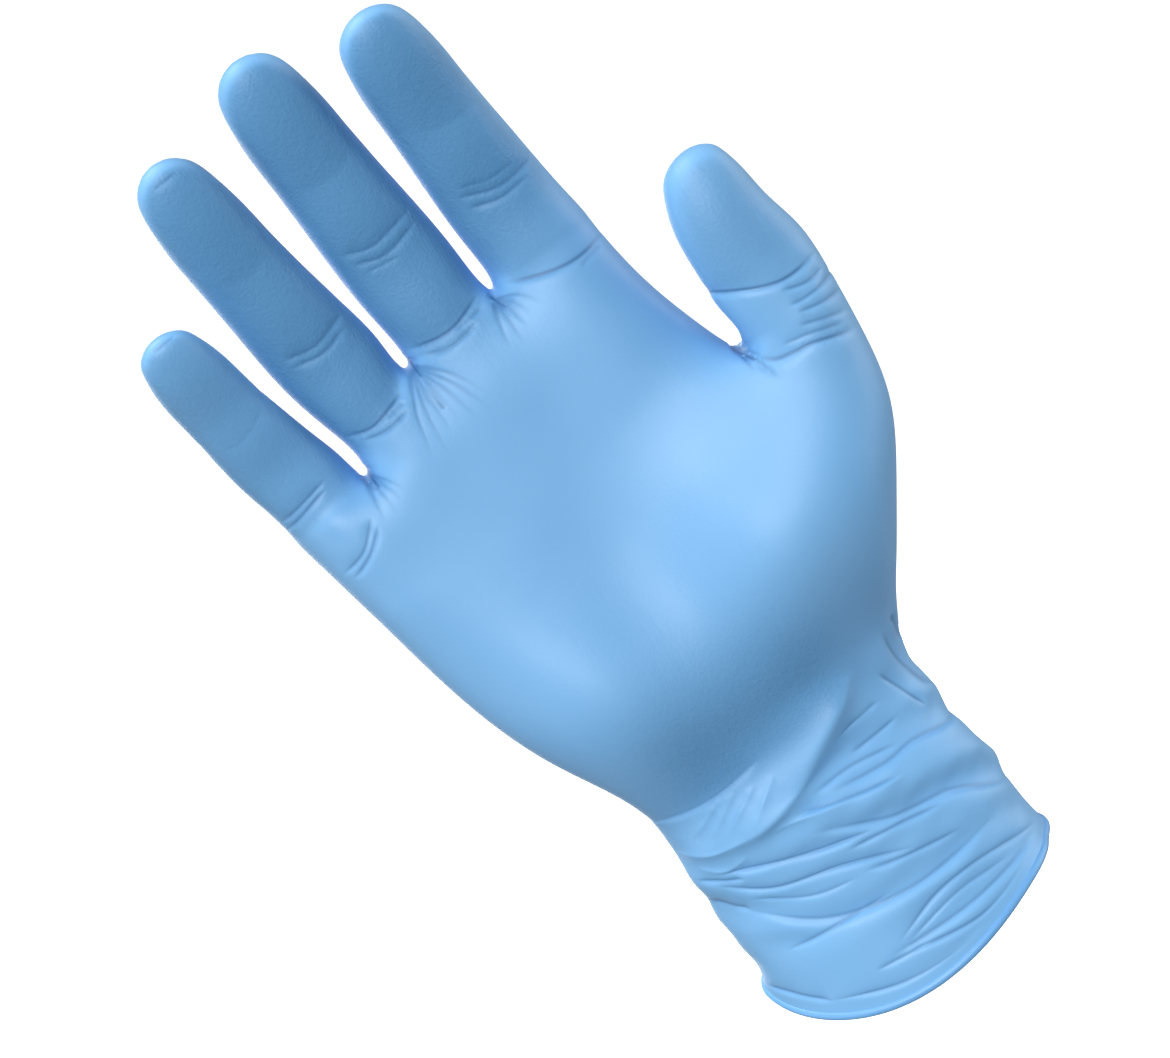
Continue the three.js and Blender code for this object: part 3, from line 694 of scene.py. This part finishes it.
# A material of the film: values go to the group's sockets, and the film's masks go in beside them
def film_material(name, surface, sheen, **values):
    material, shader = new_material(name)
    nodes, links = material.node_tree.nodes, material.node_tree.links
    look = nodes.new("ShaderNodeGroup")
    look.node_tree = surface
    for socket, value in values.items():
        look.inputs[socket.replace("_", " ")].default_value = value
    for mask in ("Slack", "Tight", "Creased"):
        marked = nodes.new("ShaderNodeAttribute")
        marked.attribute_name = mask.lower()
        links.new(marked.outputs["Fac"], look.inputs[mask])
    links.new(look.outputs["Colour"], shader.inputs["Base Color"])
    links.new(look.outputs["Roughness"], shader.inputs["Roughness"])
    links.new(look.outputs["Normal"], shader.inputs["Normal"])
    shader.inputs["Specular IOR Level"].default_value = GLOSS
    shader.inputs["Sheen Weight"].default_value = sheen
    shader.inputs["Sheen Roughness"].default_value = SHEEN_ROUGHNESS
    return material


def finish_piece(piece, name, material):
    piece.name = name
    piece.data.materials.clear()
    piece.data.materials.append(material)
    select_only(piece)
    bpy.ops.object.shade_smooth()
    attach(piece, "root")
    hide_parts("glove_film")


# The glove. Inside it only the folds of the cuff show
FORM_LEVELS = 3
PALM, BACK = -1, 1
INTO_GLOVE = -1

cuff_folds = [crease(*row) for row in CUFF_FOLDS]
palm_creases = [crease(*row) for row in FINGER_CREASES + THUMB_CREASES] + cuff_folds
palm_creases += [wrinkle for fan in WEB_FANS for wrinkle in web_wrinkles(fan)]
back_creases = [crease(*row) for row in BACK_CREASES]

film, inside = part_at_roll(merged_copy("glove", "glove_film"))
form = smooth_form(film, FORM_LEVELS)
apply_subdivision(film, 1)
refine(film, palm_creases, back_creases)
lay_on(film, form)
apply_subdivision(inside, 1)
divide_faces(inside, face_middles(inside.data)[0][:, 2] < CUFF_TOP)
cuff_line = edge_line(film)
roll = rolled_edge(cuff_line)
lengthen_edge(film, cuff_line, FILM_INTO_ROLL * MM)
lengthen_edge(inside, edge_line(inside), FILM_INTO_ROLL * MM)
# Painted shade on the pads and the heel, for the material
mark(film, "tight", shaded_pads(film))
# Painted light that pales the cuff, for the material
mark(film, "slack", painted_cuff_light(film))
# Painted shade in the creases, for the material
palm_crease_shade = press_creases(film, palm_creases, PALM, cuff_line)
back_crease_shade = press_creases(film, back_creases, BACK, cuff_line)
mark(film, "creased", palm_crease_shade + back_crease_shade)
press_creases(inside, cuff_folds, PALM, cuff_line, INTO_GLOVE)
press_creases(inside, back_creases, BACK, cuff_line, INTO_GLOVE)

surface = film_surface_group()
# Beside the film's own pale and deep tones: a deeper blue painted as shade on the pads and heel, a paler
# blue painted as light on the cuff, and a dark blue painted as shade in the creases
film_blue = film_material(
    "nitrile film", surface, 0.03,
    Pale=linear(126, 186, 237), Deep=linear(120, 181, 233), Tight_colour=linear(88, 149, 199),
    Slack_colour=linear(131, 194, 247), Creased_colour=linear(50, 106, 160),
    Cloud_scale=30, Grain_scale=1500, Grain_height=0.5, Matte=0.5,
)
inside_blue = film_material(
    "inside of the film", surface, 0.2,
    Pale=linear(134, 190, 236), Deep=linear(126, 184, 232), Tight_colour=linear(126, 184, 232),
    Slack_colour=linear(130, 187, 234), Creased_colour=linear(90, 150, 205),
    Cloud_scale=45, Grain_scale=1200, Grain_height=0.4, Matte=0.6,
)
roll_blue = film_material(
    "rolled film", surface, 0.08,
    Pale=linear(124, 190, 246), Deep=linear(116, 182, 242), Tight_colour=linear(112, 180, 242),
    Slack_colour=linear(120, 186, 244), Creased_colour=linear(80, 150, 210),
    Cloud_scale=60, Grain_scale=1800, Grain_height=0.2, Matte=0.42,
)
finish_piece(film, "nitrile_film", film_blue)
finish_piece(inside, "film_inside", inside_blue)
finish_piece(roll, "rolled_edge", roll_blue)


# Floor, light and camera, in metres, watts and degrees
FLOOR_SIZE = 40
FLOOR_HEIGHT = -0.3
HAND_MIDDLE = (0, -0.02, 0.11)
LIGHTS = [
    {"name": "key", "at": (-0.3, -1.3, 0.75), "size": 1, "power": 18},
    {"name": "top", "at": (-0.25, 0, 1.5), "size": 0.9, "power": 12},
    {"name": "left", "at": (-1.3, -0.3, 0.2), "size": 0.8, "power": 2.2},
    {"name": "right", "at": (1.25, 0.1, 0), "size": 1.2, "power": 8.5},
    {"name": "back", "at": (-0.3, 1.4, 0.1), "size": 1.2, "power": 9},
]
CAMERA_PLACE = (-0.0032, -0.9998, 0.2812)
CAMERA_TILT = 80
CAMERA_ROLL = -38.5
SENSOR_WIDTH = 36
FOCAL_LENGTH = 149.22
GLOW = 0.2
MIRRORED = 0.38


def area_light(name, at, size, power):
    lamp = bpy.data.lights.new(name, "AREA")
    lamp.shape = "DISK"
    lamp.size = size
    lamp.energy = power
    light = bpy.data.objects.new(name, lamp)
    light.location = at
    light.rotation_euler = (Vector(HAND_MIDDLE) - Vector(at)).to_track_quat("-Z", "Y").to_euler()
    bpy.context.scene.collection.objects.link(light)


bpy.ops.mesh.primitive_plane_add(size=FLOOR_SIZE, location=(0, 0, FLOOR_HEIGHT))
floor = bpy.context.object
floor.name = "floor"
floor_white, floor_shader = new_material("pale floor")
floor_shader.inputs["Base Color"].default_value = (0.9, 0.9, 0.9, 1)
floor_shader.inputs["Roughness"].default_value = 0.9
floor_shader.inputs["Emission Color"].default_value = (1, 1, 1, 1)
floor_shader.inputs["Emission Strength"].default_value = 1.0
floor.data.materials.append(floor_white)
floor.visible_diffuse = False
floor.visible_glossy = False

for row in LIGHTS:
    area_light(**row)

world = bpy.data.worlds.new("studio")
world.use_nodes = True
bpy.context.scene.world = world
air, air_links = world.node_tree.nodes, world.node_tree.links
air.clear()


def background(strength, colour):
    made = air.new("ShaderNodeBackground")
    made.inputs["Color"].default_value = colour
    made.inputs["Strength"].default_value = strength
    return made.outputs["Background"]


rays = air.new("ShaderNodeLightPath")


# One surrounding for the rays of a kind, another for the rest
def choose(ray, shader_if, shader_else):
    made = air.new("ShaderNodeMixShader")
    air_links.new(rays.outputs[ray], made.inputs["Fac"])
    air_links.new(shader_else, made.inputs[1])
    air_links.new(shader_if, made.inputs[2])
    return made.outputs["Shader"]


seen_white = background(1.0, (1, 1, 1, 1))
soft_glow = background(GLOW, (0.94, 0.97, 1, 1))
mirrored = background(MIRRORED, (1, 1, 1, 1))
sky = choose("Is Camera Ray", seen_white, choose("Is Glossy Ray", mirrored, soft_glow))
air_links.new(sky, air.new("ShaderNodeOutputWorld").inputs["Surface"])

lens = bpy.data.cameras.new("camera")
lens.sensor_width = SENSOR_WIDTH
lens.lens = FOCAL_LENGTH
camera = bpy.data.objects.new("camera", lens)
camera.location = CAMERA_PLACE
turn = Matrix.Rotation(radians(CAMERA_TILT), 4, "X") @ Matrix.Rotation(radians(CAMERA_ROLL), 4, "Z")
camera.rotation_euler = turn.to_euler()
bpy.context.scene.collection.objects.link(camera)
bpy.context.scene.camera = camera
bpy.context.scene.view_settings.view_transform = "Standard"
